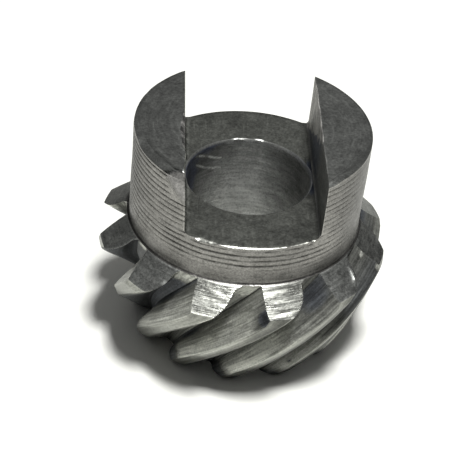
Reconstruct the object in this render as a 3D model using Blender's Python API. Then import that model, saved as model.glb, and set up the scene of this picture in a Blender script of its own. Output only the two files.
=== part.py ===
"""Spiral bevel pinion with an integral hub, one piece of machined steel.

The axis is Z and the toe (small) end stands on Z = 0. Around the body: the flat toe face,
twelve right-hand spiral teeth that taper from heel to toe, the sloping heel face of every
tooth, a small root fillet, and a cylindrical hub. One wide slot runs across the top of the
hub along Y and leaves two crescent drive jaws. A plain bore runs through on the axis and
opens in the floor of the slot.

All lengths are in metres. The tooth form is given in shares of the hub radius.
"""

import math

import bmesh
import bpy

# ---- driving dimensions -------------------------------------------------------------
HUB_RADIUS = 0.00925  # outer radius of the hub, the unit of every share below
TEETH = 12

HEIGHT = 2.05 * HUB_RADIUS  # toe face to jaw tops
SLOT_DEPTH = 0.520 * HUB_RADIUS  # jaw tops down to the slot floor
HUB_LENGTH = 0.874 * HUB_RADIUS  # jaw tops down to the start of the teeth
SLOT_HALF_TOP = 0.573 * HUB_RADIUS  # half width of the slot at the jaw tops
SLOT_HALF_FLOOR = 0.556 * HUB_RADIUS  # half width at the floor, the walls have a little draft
SLOT_FILLET = 0.036 * HUB_RADIUS  # radius in the two corners of the floor
BORE_RADIUS = 0.5405 * HUB_RADIUS
BORE_CHAMFER = 0.013 * HUB_RADIUS  # at the slot floor
TOE_CHAMFER = 0.030 * HUB_RADIUS  # at the mouth of the bore in the toe face
JAW_CHAMFER = 0.020 * HUB_RADIUS  # around the jaw tops
ROOT_FILLET = 0.020 * HUB_RADIUS  # between the hub and the heel faces

# teeth: the tip line and the root line of the blank, heel first
TIP_HEEL_R, TIP_HEEL_Z = 1.266, -1.115
TIP_TOE_R, TIP_TOE_Z = 0.931, -2.034
TIP_CROWN, TIP_SKEW = 0.154, -0.059  # the tip line bows outward
HEEL_TIP_Z = -1.087  # where the heel face ends, just above the start of the tip line
ROOT_TOE_R = 0.745
FIRST_TOOTH_DEG = -78.65  # heel end of one tooth, counter-clockwise from +X
SPIRAL_DEG = (-42.66, -14.35, 9.22)  # turn of the tip along the tooth, as a cubic of s

# tooth section, half angles in degrees
HEEL_TIP_HALF, HEEL_FLANK_HALF = 3.5, 6.3
TOE_TIP_HALF, TOE_FLANK_HALF = 3.0, 7.2
FILLET_HALF = 1.5  # the flank runs out into the floor of the gap
LEAN_DEG = 3.9  # the heel section leans toward the trailing side at its root
TOE_ROUND_HALF = 1.4  # the toe ends of the flanks are broken by a small round
TOE_ROUND_R = 0.022

# mesh density
SECTIONS = 16  # along a tooth
FLANK_STEPS = 6  # root to tip
LAND_STEPS = 2  # across the top land
FLOOR_STEPS = 2  # across the floor of a gap
FACE_STEPS = 4  # across a heel face
BORE_SIDES = 72


# ---- tooth form ----------------------------------------------------------------------
def tip_line(s):
    """Radius and height of the tooth tip at s, 0 at the heel and 1 at the toe."""
    bow = TIP_CROWN * s * (1 - s) + TIP_SKEW * s * (1 - s) * (1 - 2 * s)
    return (
        TIP_HEEL_R + (TIP_TOE_R - TIP_HEEL_R) * s + bow,
        TIP_HEEL_Z + (TIP_TOE_Z - TIP_HEEL_Z) * s,
    )


def spiral(s):
    """Turn of the tip in degrees at s."""
    a, b, c = SPIRAL_DEG
    return a * s + b * s * s + c * s * s * s


def section_ends(t):
    """(s, tip radius, tip height, root radius, root height) of the section at t."""
    bottom = -HEIGHT / HUB_RADIUS
    z = HEEL_TIP_Z + (bottom - HEEL_TIP_Z) * t
    s = (z - TIP_HEEL_Z) / (TIP_TOE_Z - TIP_HEEL_Z)
    r, z = tip_line(s)
    root_r0 = 1.0 + ROOT_FILLET / HUB_RADIUS
    root_z0 = -(HUB_LENGTH + ROOT_FILLET) / HUB_RADIUS
    root_r = root_r0 + (ROOT_TOE_R - root_r0) * t
    root_z = root_z0 + (bottom - root_z0) * t
    return s, r, z, root_r, root_z


def half_angle(u, t):
    """Half width of a tooth in degrees, u is 0 at the root and 1 at the tip."""
    tip = HEEL_TIP_HALF + (TOE_TIP_HALF - HEEL_TIP_HALF) * t
    flank = HEEL_FLANK_HALF + (TOE_FLANK_HALF - HEEL_FLANK_HALF) * t
    fillet = FILLET_HALF * max(0.0, 1 - u / 0.22) ** 2
    return tip + flank * (1 - u**2.2) ** 0.9 + fillet


def lean_angle(u, slope):
    """Shift of the middle of the section, which grows with the slope of the section."""
    fillet = 0.33 * max(0.0, 1 - u / 0.22) ** 2
    return LEAN_DEG * slope * ((1 - u**2.6) + fillet)


def flank_point(side, u, t, base_deg):
    """A point of the left (-1) or right (+1) flank, in metres."""
    s, tip_r, tip_z, root_r, root_z = section_ends(t)
    slope = (root_z - tip_z) / 0.193
    toe = max(0.0, (t - 0.93) / 0.07) ** 2
    r = root_r + (tip_r - root_r) * u
    z = root_z + (tip_z - root_z) * u
    r -= TOE_ROUND_R * toe * u
    half = half_angle(u, t) - TOE_ROUND_HALF * toe * (0.35 + 0.65 * u)
    angle = base_deg + spiral(s) + lean_angle(u, slope) + side * half
    return polar(r, angle, z)


def polar(r, deg, z):
    """A point in metres from shares of the hub radius, with Z = 0 on the toe face."""
    a = math.radians(deg)
    return (
        r * math.cos(a) * HUB_RADIUS,
        r * math.sin(a) * HUB_RADIUS,
        z * HUB_RADIUS + HEIGHT,
    )


def between(p, q, f, bulge=1.0):
    """The point at share f of the arc from p to q about the axis, a little in or out."""
    rp, rq = math.hypot(p[0], p[1]), math.hypot(q[0], q[1])
    ap, aq = math.atan2(p[1], p[0]), math.atan2(q[1], q[0])
    turn = (aq - ap + math.pi) % (2 * math.pi) - math.pi
    r = (rp + (rq - rp) * f) * bulge
    a = ap + turn * f
    return (r * math.cos(a), r * math.sin(a), p[2] + (q[2] - p[2]) * f)


# ---- turned and toothed blank --------------------------------------------------------
def make_blank():
    bm = bmesh.new()
    add = bm.verts.new

    # rings of the toothed part, each the outline of one section
    rings = []
    for j in range(SECTIONS + 1):
        # sections are closer together at both ends
        x = j / SECTIONS
        t = x if j in (0, SECTIONS) else 0.5 * x + 0.25 * (1 - math.cos(math.pi * x))
        ring = []
        for k in range(TEETH):
            base = FIRST_TOOTH_DEG + k * 360.0 / TEETH
            left = [flank_point(-1, i / FLANK_STEPS, t, base) for i in range(FLANK_STEPS + 1)]
            right = [flank_point(+1, i / FLANK_STEPS, t, base) for i in range(FLANK_STEPS + 1)]
            following = flank_point(-1, 0.0, t, base + 360.0 / TEETH)
            ring += left
            ring += [between(left[-1], right[-1], i / LAND_STEPS) for i in range(1, LAND_STEPS)]
            ring += right[::-1]
            ring += [
                between(right[0], following, i / FLOOR_STEPS, 0.994) if t > 0
                else between(right[0], following, i / FLOOR_STEPS)
                for i in range(1, FLOOR_STEPS)
            ]
        rings.append([add(p) for p in ring])
    count = len(rings[0])
    for a, b in zip(rings, rings[1:]):
        for i in range(count):
            n = (i + 1) % count
            bm.faces.new((a[i], b[i], b[n], a[n]))
    bm.faces.new(rings[-1][::-1])  # toe face

    # heel faces, each a grid from root to tip between the two flanks
    per_tooth = count // TEETH
    heel = rings[0]
    foot = []  # the ring where the heel faces and gaps meet the fillet
    for k in range(TEETH):
        start = k * per_tooth
        left = heel[start : start + FLANK_STEPS + 1]
        first_right = start + FLANK_STEPS + LAND_STEPS
        right = heel[first_right : first_right + FLANK_STEPS + 1][::-1]
        rows = []
        for i in range(FLANK_STEPS):
            p, q = left[i].co, right[i].co
            row = [left[i]]
            row += [add(between(p, q, c / FACE_STEPS)) for c in range(1, FACE_STEPS)]
            rows.append(row + [right[i]])
        for a, b in zip(rows, rows[1:]):
            for c in range(FACE_STEPS):
                bm.faces.new((a[c], b[c], b[c + 1], a[c + 1]))
        top = heel[start + FLANK_STEPS : first_right + 1]
        last = rows[-1]
        for c in range(FACE_STEPS):  # the last row joins the few points of the land
            lo = c * LAND_STEPS // FACE_STEPS
            hi = (c + 1) * LAND_STEPS // FACE_STEPS
            corner = [last[c]] + top[lo : hi + 1] + [last[c + 1]]
            bm.faces.new(corner)
        foot += rows[0]
        floor = first_right + FLANK_STEPS
        foot += heel[floor + 1 : floor + FLOOR_STEPS]

    # hub, from the foot of the heel faces to the jaw tops
    angles = [math.atan2(v.co.y, v.co.x) for v in foot]
    lower = foot
    r0, z0 = HUB_RADIUS, HEIGHT - HUB_LENGTH
    outline = [
        (r0 + ROOT_FILLET * 0.29, z0 - ROOT_FILLET * 0.71),
        (r0, z0),
        (r0, HEIGHT - JAW_CHAMFER),
        (r0 - JAW_CHAMFER, HEIGHT),
    ]
    for r, z in outline:
        upper = [add((r * math.cos(a), r * math.sin(a), z)) for a in angles]
        for i in range(len(lower)):
            n = (i + 1) % len(lower)
            bm.faces.new((lower[i], lower[n], upper[n], upper[i]))
        lower = upper
    bm.faces.new(lower)

    bmesh.ops.recalc_face_normals(bm, faces=bm.faces)
    return finish_mesh(bm, "pinion_gear")


# ---- cutters -------------------------------------------------------------------------
def make_slot():
    """The milling cut across the hub: sloping walls, round corners at the floor."""
    floor = HEIGHT - SLOT_DEPTH
    over = 0.25 * SLOT_DEPTH  # the cut runs out above the jaws and past both sides
    draft = (SLOT_HALF_TOP - SLOT_HALF_FLOOR) / SLOT_DEPTH
    top_half = SLOT_HALF_TOP + draft * over
    steps = 5
    right = [(top_half, HEIGHT + over)]
    for i in range(steps + 1):
        a = math.pi / 2 * i / steps
        right.append((
            SLOT_HALF_FLOOR - SLOT_FILLET * (1 - math.cos(a)),
            floor + SLOT_FILLET * (1 - math.sin(a)),
        ))
    outline = right + [(-x, z) for x, z in right[::-1]]
    reach = 1.6 * HUB_RADIUS
    bm = bmesh.new()
    near = [bm.verts.new((x, -reach, z)) for x, z in outline]
    far = [bm.verts.new((x, reach, z)) for x, z in outline]
    for i in range(len(outline)):
        n = (i + 1) % len(outline)
        bm.faces.new((near[i], near[n], far[n], far[i]))
    bm.faces.new(near)
    bm.faces.new(far[::-1])
    bmesh.ops.recalc_face_normals(bm, faces=bm.faces)
    return finish_mesh(bm, "slot_cutter")


def make_bore():
    """The drilled bore with a chamfer at each mouth."""
    floor = HEIGHT - SLOT_DEPTH
    over = 0.002
    mouth = BORE_RADIUS + BORE_CHAMFER
    outline = [
        (BORE_RADIUS + TOE_CHAMFER + over, -over),
        (BORE_RADIUS, TOE_CHAMFER),
        (BORE_RADIUS, floor - BORE_CHAMFER),
        (mouth, floor + 0.00002),
        # straight from there, so that it trims the corner fillets and leaves the walls whole
        (mouth, floor + 0.85 * SLOT_FILLET),
    ]
    bm = bmesh.new()
    rings = [
        [
            bm.verts.new((
                r * math.cos(2 * math.pi * i / BORE_SIDES),
                r * math.sin(2 * math.pi * i / BORE_SIDES),
                z,
            ))
            for i in range(BORE_SIDES)
        ]
        for r, z in outline
    ]
    for a, b in zip(rings, rings[1:]):
        for i in range(BORE_SIDES):
            n = (i + 1) % BORE_SIDES
            bm.faces.new((a[i], a[n], b[n], b[i]))
    bm.faces.new(rings[0][::-1])
    bm.faces.new(rings[-1])
    bmesh.ops.recalc_face_normals(bm, faces=bm.faces)
    return finish_mesh(bm, "bore_cutter")


# ---- helpers ---------------------------------------------------------------------------
def finish_mesh(bm, name):
    mesh = bpy.data.meshes.new(name)
    bm.to_mesh(mesh)
    bm.free()
    obj = bpy.data.objects.new(name, mesh)
    bpy.context.scene.collection.objects.link(obj)
    return obj


def cut(target, cutter):
    cutter.hide_render = True
    cutter.display_type = "WIRE"
    modifier = target.modifiers.new("cut_" + cutter.name, "BOOLEAN")
    modifier.operation = "DIFFERENCE"
    modifier.solver = "EXACT"
    modifier.object = cutter


def steel():
    material = bpy.data.materials.new("steel")
    material.use_nodes = True
    shader = material.node_tree.nodes["Principled BSDF"]
    shader.inputs["Base Color"].default_value = (0.36, 0.36, 0.345, 1.0)
    shader.inputs["Metallic"].default_value = 1.0
    shader.inputs["Roughness"].default_value = 0.36
    return material


def main():
    for old in list(bpy.data.objects):
        bpy.data.objects.remove(old, do_unlink=True)
    pinion = make_blank()
    cutters = [make_bore(), make_slot()]
    for cutter in cutters:
        cut(pinion, cutter)
    graph = bpy.context.evaluated_depsgraph_get()
    finished = bpy.data.meshes.new_from_object(pinion.evaluated_get(graph))
    pinion.modifiers.clear()
    pinion.data = finished
    for cutter in cutters:
        bpy.data.objects.remove(cutter, do_unlink=True)
    finished.materials.clear()
    finished.materials.append(steel())
    for polygon in finished.polygons:
        polygon.use_smooth = True
        polygon.material_index = 0
    finished.set_sharp_from_angle(angle=math.radians(32))


main()
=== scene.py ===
"""Visual model of the spiral bevel pinion: one machined steel piece with its tool marks,
chamfers and wear, on a plain pale floor under soft light.

Lengths in the shape code are shares of the hub radius. The row frame has Z = 0 on the toe
face, and the jaw tops are at depth 0 in the shape code.
"""
import math

import bmesh
import bpy
import numpy as np
from mathutils import Matrix


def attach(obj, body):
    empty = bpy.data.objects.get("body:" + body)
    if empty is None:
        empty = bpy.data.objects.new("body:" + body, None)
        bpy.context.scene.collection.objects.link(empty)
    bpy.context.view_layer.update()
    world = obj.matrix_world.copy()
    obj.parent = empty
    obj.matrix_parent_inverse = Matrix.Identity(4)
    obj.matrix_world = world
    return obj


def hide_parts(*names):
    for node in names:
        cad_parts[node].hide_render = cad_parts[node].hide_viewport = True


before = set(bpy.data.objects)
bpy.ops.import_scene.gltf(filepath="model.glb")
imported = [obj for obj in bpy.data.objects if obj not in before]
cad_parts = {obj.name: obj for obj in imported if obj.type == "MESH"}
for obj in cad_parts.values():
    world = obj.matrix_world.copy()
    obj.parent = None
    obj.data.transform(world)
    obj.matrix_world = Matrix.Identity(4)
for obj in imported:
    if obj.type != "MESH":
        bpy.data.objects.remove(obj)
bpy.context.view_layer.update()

# ---- sizes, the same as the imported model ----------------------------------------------
HUB_RADIUS = 0.00925
MM = HUB_RADIUS * 1000.0  # millimetres in one share
TOTAL = 2.05  # jaw tops to toe face
SLOT_DEPTH = 0.520
HUB_LENGTH = 0.874
SLOT_HALF_FLOOR = 0.556
BORE, MOUTH, MOUTH_DEPTH, TOE_CHAMFER = 0.533, 0.551, 0.030, 0.030
BORE_SHIFT = (0.003, 0.005)  # the bore isn't quite on the hub's axis
LEAN = 0.012  # and the jaw tops lie this far to the side of the teeth's axis
ROOT_FILLET = 0.020
TEETH = 12

TIP_HEEL_R, TIP_HEEL_Z = 1.266, -1.115
TIP_TOE_R, TIP_TOE_Z = 0.931, -2.034
TIP_CROWN, TIP_SKEW = 0.154, -0.059
HEEL_TIP_Z = -1.087
ROOT_TOE_R = 0.745
FIRST_TOOTH_DEG = -78.65
SPIRAL_DEG = (-42.66, -14.35, 9.22)
HEEL_TIP_HALF, HEEL_FLANK_HALF = 3.5, 6.3
TOE_TIP_HALF, TOE_FLANK_HALF = 3.0, 7.2
FILLET_HALF = 1.5
LEAN_DEG = 3.9
TOE_ROUND_HALF, TOE_ROUND_R = 1.4, 0.022

# ---- mesh density ------------------------------------------------------------------------
FACE = 18  # columns across a heel face
FLOOR = 12  # columns across the gap between two heel faces
FLANK = 16  # rows from root to tip
LAND = 4  # columns across a top land
PITCH = 0.050  # axial distance of two turned grooves
FIRST_CREST = 0.0295


# ---- seeded noise --------------------------------------------------------------------------
def lattice(ix, iy, iz, seed):
    h = (ix * 374761393 + iy * 668265263 + iz * 1103515245 + seed * 974711) & 0xFFFFFFFF
    h = ((h ^ (h >> 13)) * 1274126177) & 0xFFFFFFFF
    h = ((h ^ (h >> 15)) * 668265263) & 0xFFFFFFFF
    return ((h ^ (h >> 16)) & 0xFFFF) / 32767.5 - 1.0


def noise(x, y, z, seed):
    """Smooth value noise in -1..1 at points given by arrays."""
    x, y, z = np.broadcast_arrays(*(np.asarray(v, float) for v in (x, y, z)))
    i = [np.floor(v).astype(np.int64) for v in (x, y, z)]
    f = [v - k for v, k in zip((x, y, z), i)]
    w = [g * g * g * (g * (g * 6 - 15) + 10) for g in f]
    out = 0.0
    for a in (0, 1):
        for b in (0, 1):
            for c in (0, 1):
                share = (
                    (w[0] if a else 1 - w[0])
                    * (w[1] if b else 1 - w[1])
                    * (w[2] if c else 1 - w[2])
                )
                out = out + share * lattice(i[0] + a, i[1] + b, i[2] + c, seed)
    return out


def fbm(x, y, z, seed, octaves=3):
    out, size, scale = 0.0, 1.0, 1.0
    for k in range(octaves):
        out = out + size * noise(x * scale, y * scale, z * scale, seed + 17 * k)
        size, scale = size * 0.5, scale * 2.03
    return out


def smooth(x, lo, hi):
    t = np.clip((x - lo) / (hi - lo), 0.0, 1.0)
    return t * t * (3 - 2 * t)


def around(deg, r, d):
    """Arguments for noise on a round body: it closes on itself."""
    a = np.radians(deg)
    return r * np.cos(a), r * np.sin(a), d


# ---- mesh store -------------------------------------------------------------------------------
class Store:
    """Points, faces, the material of each face and, at each face corner, the place along
    and across the tool marks in millimetres and the tone: below 0 for stained metal and
    painted shade, above 0 for freshly scraped metal, painted light and painted highlights."""

    def __init__(self):
        self.points, self.count = [], 0
        self.faces, self.kinds, self.grain = [], [], []

    def add(self, deg, r, d):
        """Adds points given in cylinder terms, and returns their numbers."""
        deg, r, d = np.broadcast_arrays(
            *(np.asarray(v, float) for v in (deg, r, d))
        )
        a = np.radians(deg)
        return self.add_xy(r * np.cos(a), r * np.sin(a), d)

    def add_xy(self, x, y, d):
        x, y, d = np.broadcast_arrays(*(np.asarray(v, float) for v in (x, y, d)))
        block = np.stack([x, y, -d], -1)
        self.points.append(block.reshape(-1, 3))
        first = self.count
        self.count += block.reshape(-1, 3).shape[0]
        return np.arange(first, self.count).reshape(x.shape)

    def face(self, corners, grains, kind):
        kept, marks = [], []
        for c, g in zip(corners, grains):
            if c not in kept:
                kept.append(c)
                marks.append(g)
        if len(kept) > 2:
            self.faces.append(kept)
            self.grain.extend(marks)
            self.kinds.append(kind)

    def grid(self, index, along, across, kind, tone=0.0):
        """Faces between neighbouring rows and columns of an array of point numbers."""
        index = np.asarray(index)
        marks = np.stack(
            [np.broadcast_to(v, index.shape) for v in (along, across, tone)], -1
        ).tolist()
        ids = index.tolist()
        for i in range(len(ids) - 1):
            a, b, p, q = ids[i], ids[i + 1], marks[i], marks[i + 1]
            for j in range(len(a) - 1):
                self.face((a[j], a[j + 1], b[j + 1], b[j]), (p[j], p[j + 1], q[j + 1], q[j]), kind)

    def zip(self, a, b, place_a, place_b, grain_a, grain_b, kind):
        """Triangles between two lines of points, which share their order along place."""
        i = j = 0
        while i < len(a) - 1 or j < len(b) - 1:
            on_a = j == len(b) - 1 or (
                i < len(a) - 1
                and place_a[i] + place_a[i + 1] <= place_b[j] + place_b[j + 1]
            )
            if on_a:
                self.face((a[i], a[i + 1], b[j]), (grain_a[i], grain_a[i + 1], grain_b[j]), kind)
                i += 1
            else:
                self.face((a[i], b[j + 1], b[j]), (grain_a[i], grain_b[j + 1], grain_b[j]), kind)
                j += 1


TURNED, JAW, MILLED, BORED, HEEL, FLANKS, LANDS, TOE, EDGE, FILED, DULL = range(11)


# ---- tooth form ----------------------------------------------------------------------------------
def tip_line(s):
    bow = TIP_CROWN * s * (1 - s) + TIP_SKEW * s * (1 - s) * (1 - 2 * s)
    return (
        TIP_HEEL_R + (TIP_TOE_R - TIP_HEEL_R) * s + bow,
        TIP_HEEL_Z + (TIP_TOE_Z - TIP_HEEL_Z) * s,
    )


def spiral(s):
    a, b, c = SPIRAL_DEG
    return a * s + b * s * s + c * s * s * s


def section_ends(t):
    z = HEEL_TIP_Z + (-TOTAL - HEEL_TIP_Z) * t
    s = (z - TIP_HEEL_Z) / (TIP_TOE_Z - TIP_HEEL_Z)
    r, z = tip_line(s)
    root_r0, root_z0 = 1.0 + ROOT_FILLET, -(HUB_LENGTH + ROOT_FILLET)
    root_r = root_r0 + (ROOT_TOE_R - root_r0) * t
    root_z = root_z0 + (-TOTAL - root_z0) * t
    return s, r, z, root_r, root_z


def half_angle(u, t):
    tip = HEEL_TIP_HALF + (TOE_TIP_HALF - HEEL_TIP_HALF) * t
    flank = HEEL_FLANK_HALF + (TOE_FLANK_HALF - HEEL_FLANK_HALF) * t
    fillet = FILLET_HALF * np.maximum(0.0, 1 - u / 0.22) ** 2
    return tip + flank * (1 - u**2.2) ** 0.9 + fillet


def lean_angle(u, slope):
    fillet = 0.33 * np.maximum(0.0, 1 - u / 0.22) ** 2
    return LEAN_DEG * slope * ((1 - u**2.6) + fillet)


def flank_point(side, u, t, base, nick=0.0):
    """(degrees, radius, depth) of points of one flank, for arrays u and one t. nick is in
    degrees, and straightens the right edge of the heel."""
    s, tip_r, tip_z, root_r, root_z = section_ends(t)
    slope = (root_z - tip_z) / 0.193
    toe = max(0.0, (t - 0.93) / 0.07) ** 2
    r = root_r + (tip_r - root_r) * u - TOE_ROUND_R * toe * u
    z = root_z + (tip_z - root_z) * u
    half = half_angle(u, t) - TOE_ROUND_HALF * toe * (0.35 + 0.65 * u)
    if side > 0:  # the right flank is cut a little deeper at the heel
        worn = 1.7 * (1 - u) ** 1.2 + nick * np.sin(np.pi * np.clip(u, 0, 1)) ** 0.8
        half = half - worn * (1 - smooth(t, 0.0, 0.22))
    deg = base + spiral(s) + lean_angle(u, slope) + side * half
    return deg, r, -z


def sections():
    near = [0.0, 0.014, 0.028, 0.042, 0.056, 0.072]
    far = [0.925, 0.94, 0.955, 0.967, 0.978, 0.988, 0.995, 1.0]
    middle = np.linspace(near[-1], far[0], 34)[1:-1]
    return np.array(near + list(middle) + far)


HEEL_CUT, CUT_END = 0.925, 0.042  # the heel corner of the blank is broken by a chamfer


def tip_share(t):
    return HEEL_CUT + (1 - HEEL_CUT) * min(1.0, t / CUT_END)


def ring_points(t, k):
    """The outline of tooth k and the gap after it in section t, as (deg, r, depth, u)."""
    base = FIRST_TOOTH_DEG + 30.0 * k
    top = tip_share(t)
    # levels up the flank, closer together at the root and the tip
    x = np.linspace(0, 1, FLANK)
    rise = (0.86 * x + 0.14 * np.sin(x * math.pi / 2) ** 2)
    edge = 0.020  # length of flank and land that the tip round takes
    u = rise * (top - edge)
    parts = []
    left = np.stack([*flank_point(-1, u, t, base), u], -1)
    nick = 1.7 if k == 11 else 0.0
    right = np.stack([*flank_point(+1, u, t, base, nick), u], -1)
    corner_l = np.array([*flank_point(-1, np.array(top), t, base), top])
    corner_r = np.array([*flank_point(+1, np.array(top), t, base), top])
    span = corner_r - corner_l
    step = 0.08
    on_l, on_r = corner_l + span * step, corner_r - span * step

    def bend(p, c, q, f):
        return p * (1 - f) ** 2 + 2 * c * f * (1 - f) + q * f * f

    parts.append(left)
    for f in (0.35, 0.7):
        parts.append(bend(left[-1], corner_l, on_l, f)[None])
    for i in range(LAND + 1):
        parts.append((on_l + (on_r - on_l) * i / LAND)[None])
    for f in (0.3, 0.65):
        parts.append(bend(on_r, corner_r, right[-1], f)[None])
    parts.append(right[::-1])
    following = np.array([*flank_point(-1, np.array(0.0), t, base + 30.0), 0.0])
    first = right[0]
    bulge = 1.0 if t == 0 else 0.994
    for i in range(1, FLOOR):
        p = first + (following - first) * i / FLOOR
        p[1] *= 1 - (1 - bulge) * math.sin(math.pi * i / FLOOR)
        parts.append(p[None])
    return np.concatenate(parts)


# ---- stains, scraped places, painted shade and painted highlights on the teeth -----------------------
# tooth number from the first one, place along the tooth (0 heel, 1 toe), height (0 root, 1 tip),
# the two reaches and the tone
TOE_START = {0: 0.755, 1: 0.865, 2: 0.90, 11: 0.93}  # where the painted shade along the toe end begins
# the dark spots are painted shade and one painted shadow beside a heel, the small bright ones are painted glints at
# burrs, the rest lighten or darken broad parts of a flank
LEFT_SPOTS = [
    (0, 0.030, 0.84, 0.100, 0.38, -1.35), (0, 0.70, 0.10, 0.22, 0.30, -0.55), (11, 0.45, 0.05, 0.25, 0.30, -0.45),
    (11, 0.30, 0.60, 0.40, 0.50, 0.50),
    (0, 0.80, 0.80, 0.20, 0.50, 0.90), (0, 0.35, 0.60, 0.35, 0.60, 0.75), (0, 0.62, 0.20, 0.20, 0.22, -0.50),
    (1, 0.12, 0.45, 0.26, 0.60, -0.72), (1, 0.50, 0.60, 0.25, 0.50, 1.15), (1, 0.85, 0.60, 0.25, 0.60, 1.10),
    (2, 0.805, 0.78, 0.014, 0.06, -2.0), (2, 0.02, 0.30, 0.013, 0.05, 4.0), (2, 0.02, 0.92, 0.013, 0.05, 2.5), (3, 0.20, 0.60, 0.60, 1.20, -0.55),
]
# painted light and shade on each heel face, tooth by tooth
HEEL_TONE = {8: -0.50, 9: 0.10, 11: 0.21, 0: -0.20, 1: 0.06, 2: -0.08, 3: -0.12, 4: -0.2}


def flank_tone(k, t, u, right):
    """Tone of a flank: painted shade at the root, on the flanks that look down and along the toe end, painted light
    towards the tip and near some heels, and spots.
    """
    if right:
        # painted light near the heel of some right flanks, partly brushed metal; painted shade over the rest of the
        # right flank
        brushed_and_lighting = {8: 1.5, 10: 1.5, 11: 1.9}.get(k, 0.0) * (1 - smooth(t, 0.03, 0.16))
        near_heel = {0: 0.50}.get(k, 0.0) * (1 - smooth(t, 0.20, 0.45))
        return {10: -0.58, 9: -0.62, 11: -0.18}.get(k, -0.50) + 0.12 * smooth(u, 0.85, 1.0) + brushed_and_lighting + near_heel
    root = {11: 0.70, 0: 0.12, 1: 0.30}.get(k, 0.45)
    out = -root * (1 - smooth(u, 0.0, 0.45)) + 0.30 * smooth(u, 0.55, 0.95) + 0.0 * t
    if k == 2:
        out = (-0.44 - 0.12 * smooth(u, 0.2, 0.9)) * (1 - smooth(t, 0.30, 0.65)) + 0.0 * u
    for tooth, t0, u0, rt, ru, amount in LEFT_SPOTS:
        if tooth == k:
            out = out + amount * np.exp(-1.5 * (((t - t0) / rt) ** 2 + ((u - u0) / ru) ** 2))
    start = TOE_START.get(k, 0.87) + 0.04 * noise(u * 2.5, k * 3.1, 0.2, 58)
    border = smooth(t, start, start + 0.07)
    out = out * (1 - border) - 0.56 * border
    return out


# ---- turned hub ------------------------------------------------------------------------------------
# each slot wall: its distance from the middle at the jaw top and at the floor, and its foot fillet
WALL = {1: (0.571, 0.569, 0.050), -1: (0.573, 0.545, 0.036)}
FOOT = 1 - math.sqrt(0.5)  # share of the fillet above its 45 degree point
# worn outer edge of the jaw tops: angle, width, drop
JAW_EDGE = np.array([
    (-60, 0.060, 0.015), (-51, 0.060, 0.015), (-46, 0.075, 0.006), (-24, 0.072, 0.006),
    (-10, 0.035, 0.006), (8, 0.022, 0.004), (60, 0.022, 0.004), (120, 0.035, 0.004),
    (172, 0.035, 0.004), (178, 0.060, 0.008), (196, 0.060, 0.008), (201, 0.060, 0.026),
    (228, 0.060, 0.027), (240, 0.050, 0.018),
])
# scraped front edge of the slot floor: angle, width
RIM = np.array([
    (-124, 0.003), (-117, 0.004), (-116, 0.030), (-108, 0.026), (-107, 0.008), (-102, 0.009),
    (-100.5, 0.017), (-88, 0.015), (-81, 0.013), (-79, 0.009), (-56, 0.010),
])
# stray metal along the top inner edge of the left jaw: place, reach into the slot
LEFT_EDGE = np.array([
    (-0.82, -0.016), (-0.66, -0.004), (-0.53, 0.006), (-0.44, 0.012), (-0.38, 0.0), (-0.30, -0.017),
    (-0.20, -0.020), (-0.11, -0.034), (-0.02, -0.030), (0.05, -0.012), (0.16, -0.003), (0.82, 0.0),
])
RIGHT_EDGE = np.array([(-0.82, 0.0), (-0.30, 0.0), (-0.20, 0.006), (-0.12, 0.0), (0.82, 0.0)])
# two long scratches in the bore: angle, depth
SCRATCHES = (
    ((151, 0.545), (147.6, 0.552), (131.6, 0.622), (119.2, 0.683), (112, 0.70)),
    ((145, 0.655), (142.5, 0.676), (130.4, 0.753), (120.5, 0.788), (113, 0.80)),
)
# plane of the worn front tip of the left jaw
TIP_NORMAL, TIP_LEVEL = np.array([-0.16, -0.85, 0.50]), 0.687


def wall_half(d, side):
    """Distance of a slot wall from the middle at a depth, with the fillet at its foot."""
    top, low, fillet = WALL[side]
    flat = top + (low - top) * np.minimum(d, SLOT_DEPTH) / SLOT_DEPTH
    down = np.clip(d - (SLOT_DEPTH - fillet), 0.0, fillet)
    return flat - fillet + np.sqrt(fillet**2 - down**2)


def foot_height(x):
    """Height of the slot floor, which rises in a fillet at both walls."""
    out = 0.0
    for side, (_, low, fillet) in WALL.items():
        into = np.clip(x * side - (low - fillet), 0.0, fillet)
        out = out + fillet - np.sqrt(fillet**2 - into**2)
    return out


def jaw_edge(deg):
    """Width and drop of the worn outer edge of the jaw tops."""
    side = (deg + 60) % 360 - 60
    worn = 1 + 0.12 * noise(*around(deg, 5.0, 0.0), 55)
    return (
        np.interp(side, JAW_EDGE[:, 0], JAW_EDGE[:, 1]) * worn,
        np.interp(side, JAW_EDGE[:, 0], JAW_EDGE[:, 2]),
    )


def hub_depths():
    rows = [0.006]
    crest = FIRST_CREST
    while crest < 0.80:
        rows += [crest + PITCH * f for f in (0.1, 0.3, 0.5, 0.7, 0.9)]
        crest += PITCH
    rows += [0.838, 0.846, 0.852, 0.857, 0.862, 0.867, HUB_LENGTH]
    rows = np.array(rows)
    near = int(np.argmin(abs(rows - SLOT_DEPTH)))
    rows[near] = SLOT_DEPTH
    return np.insert(rows, near + 1, [SLOT_DEPTH + 0.002, SLOT_DEPTH + 0.004]), near


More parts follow.
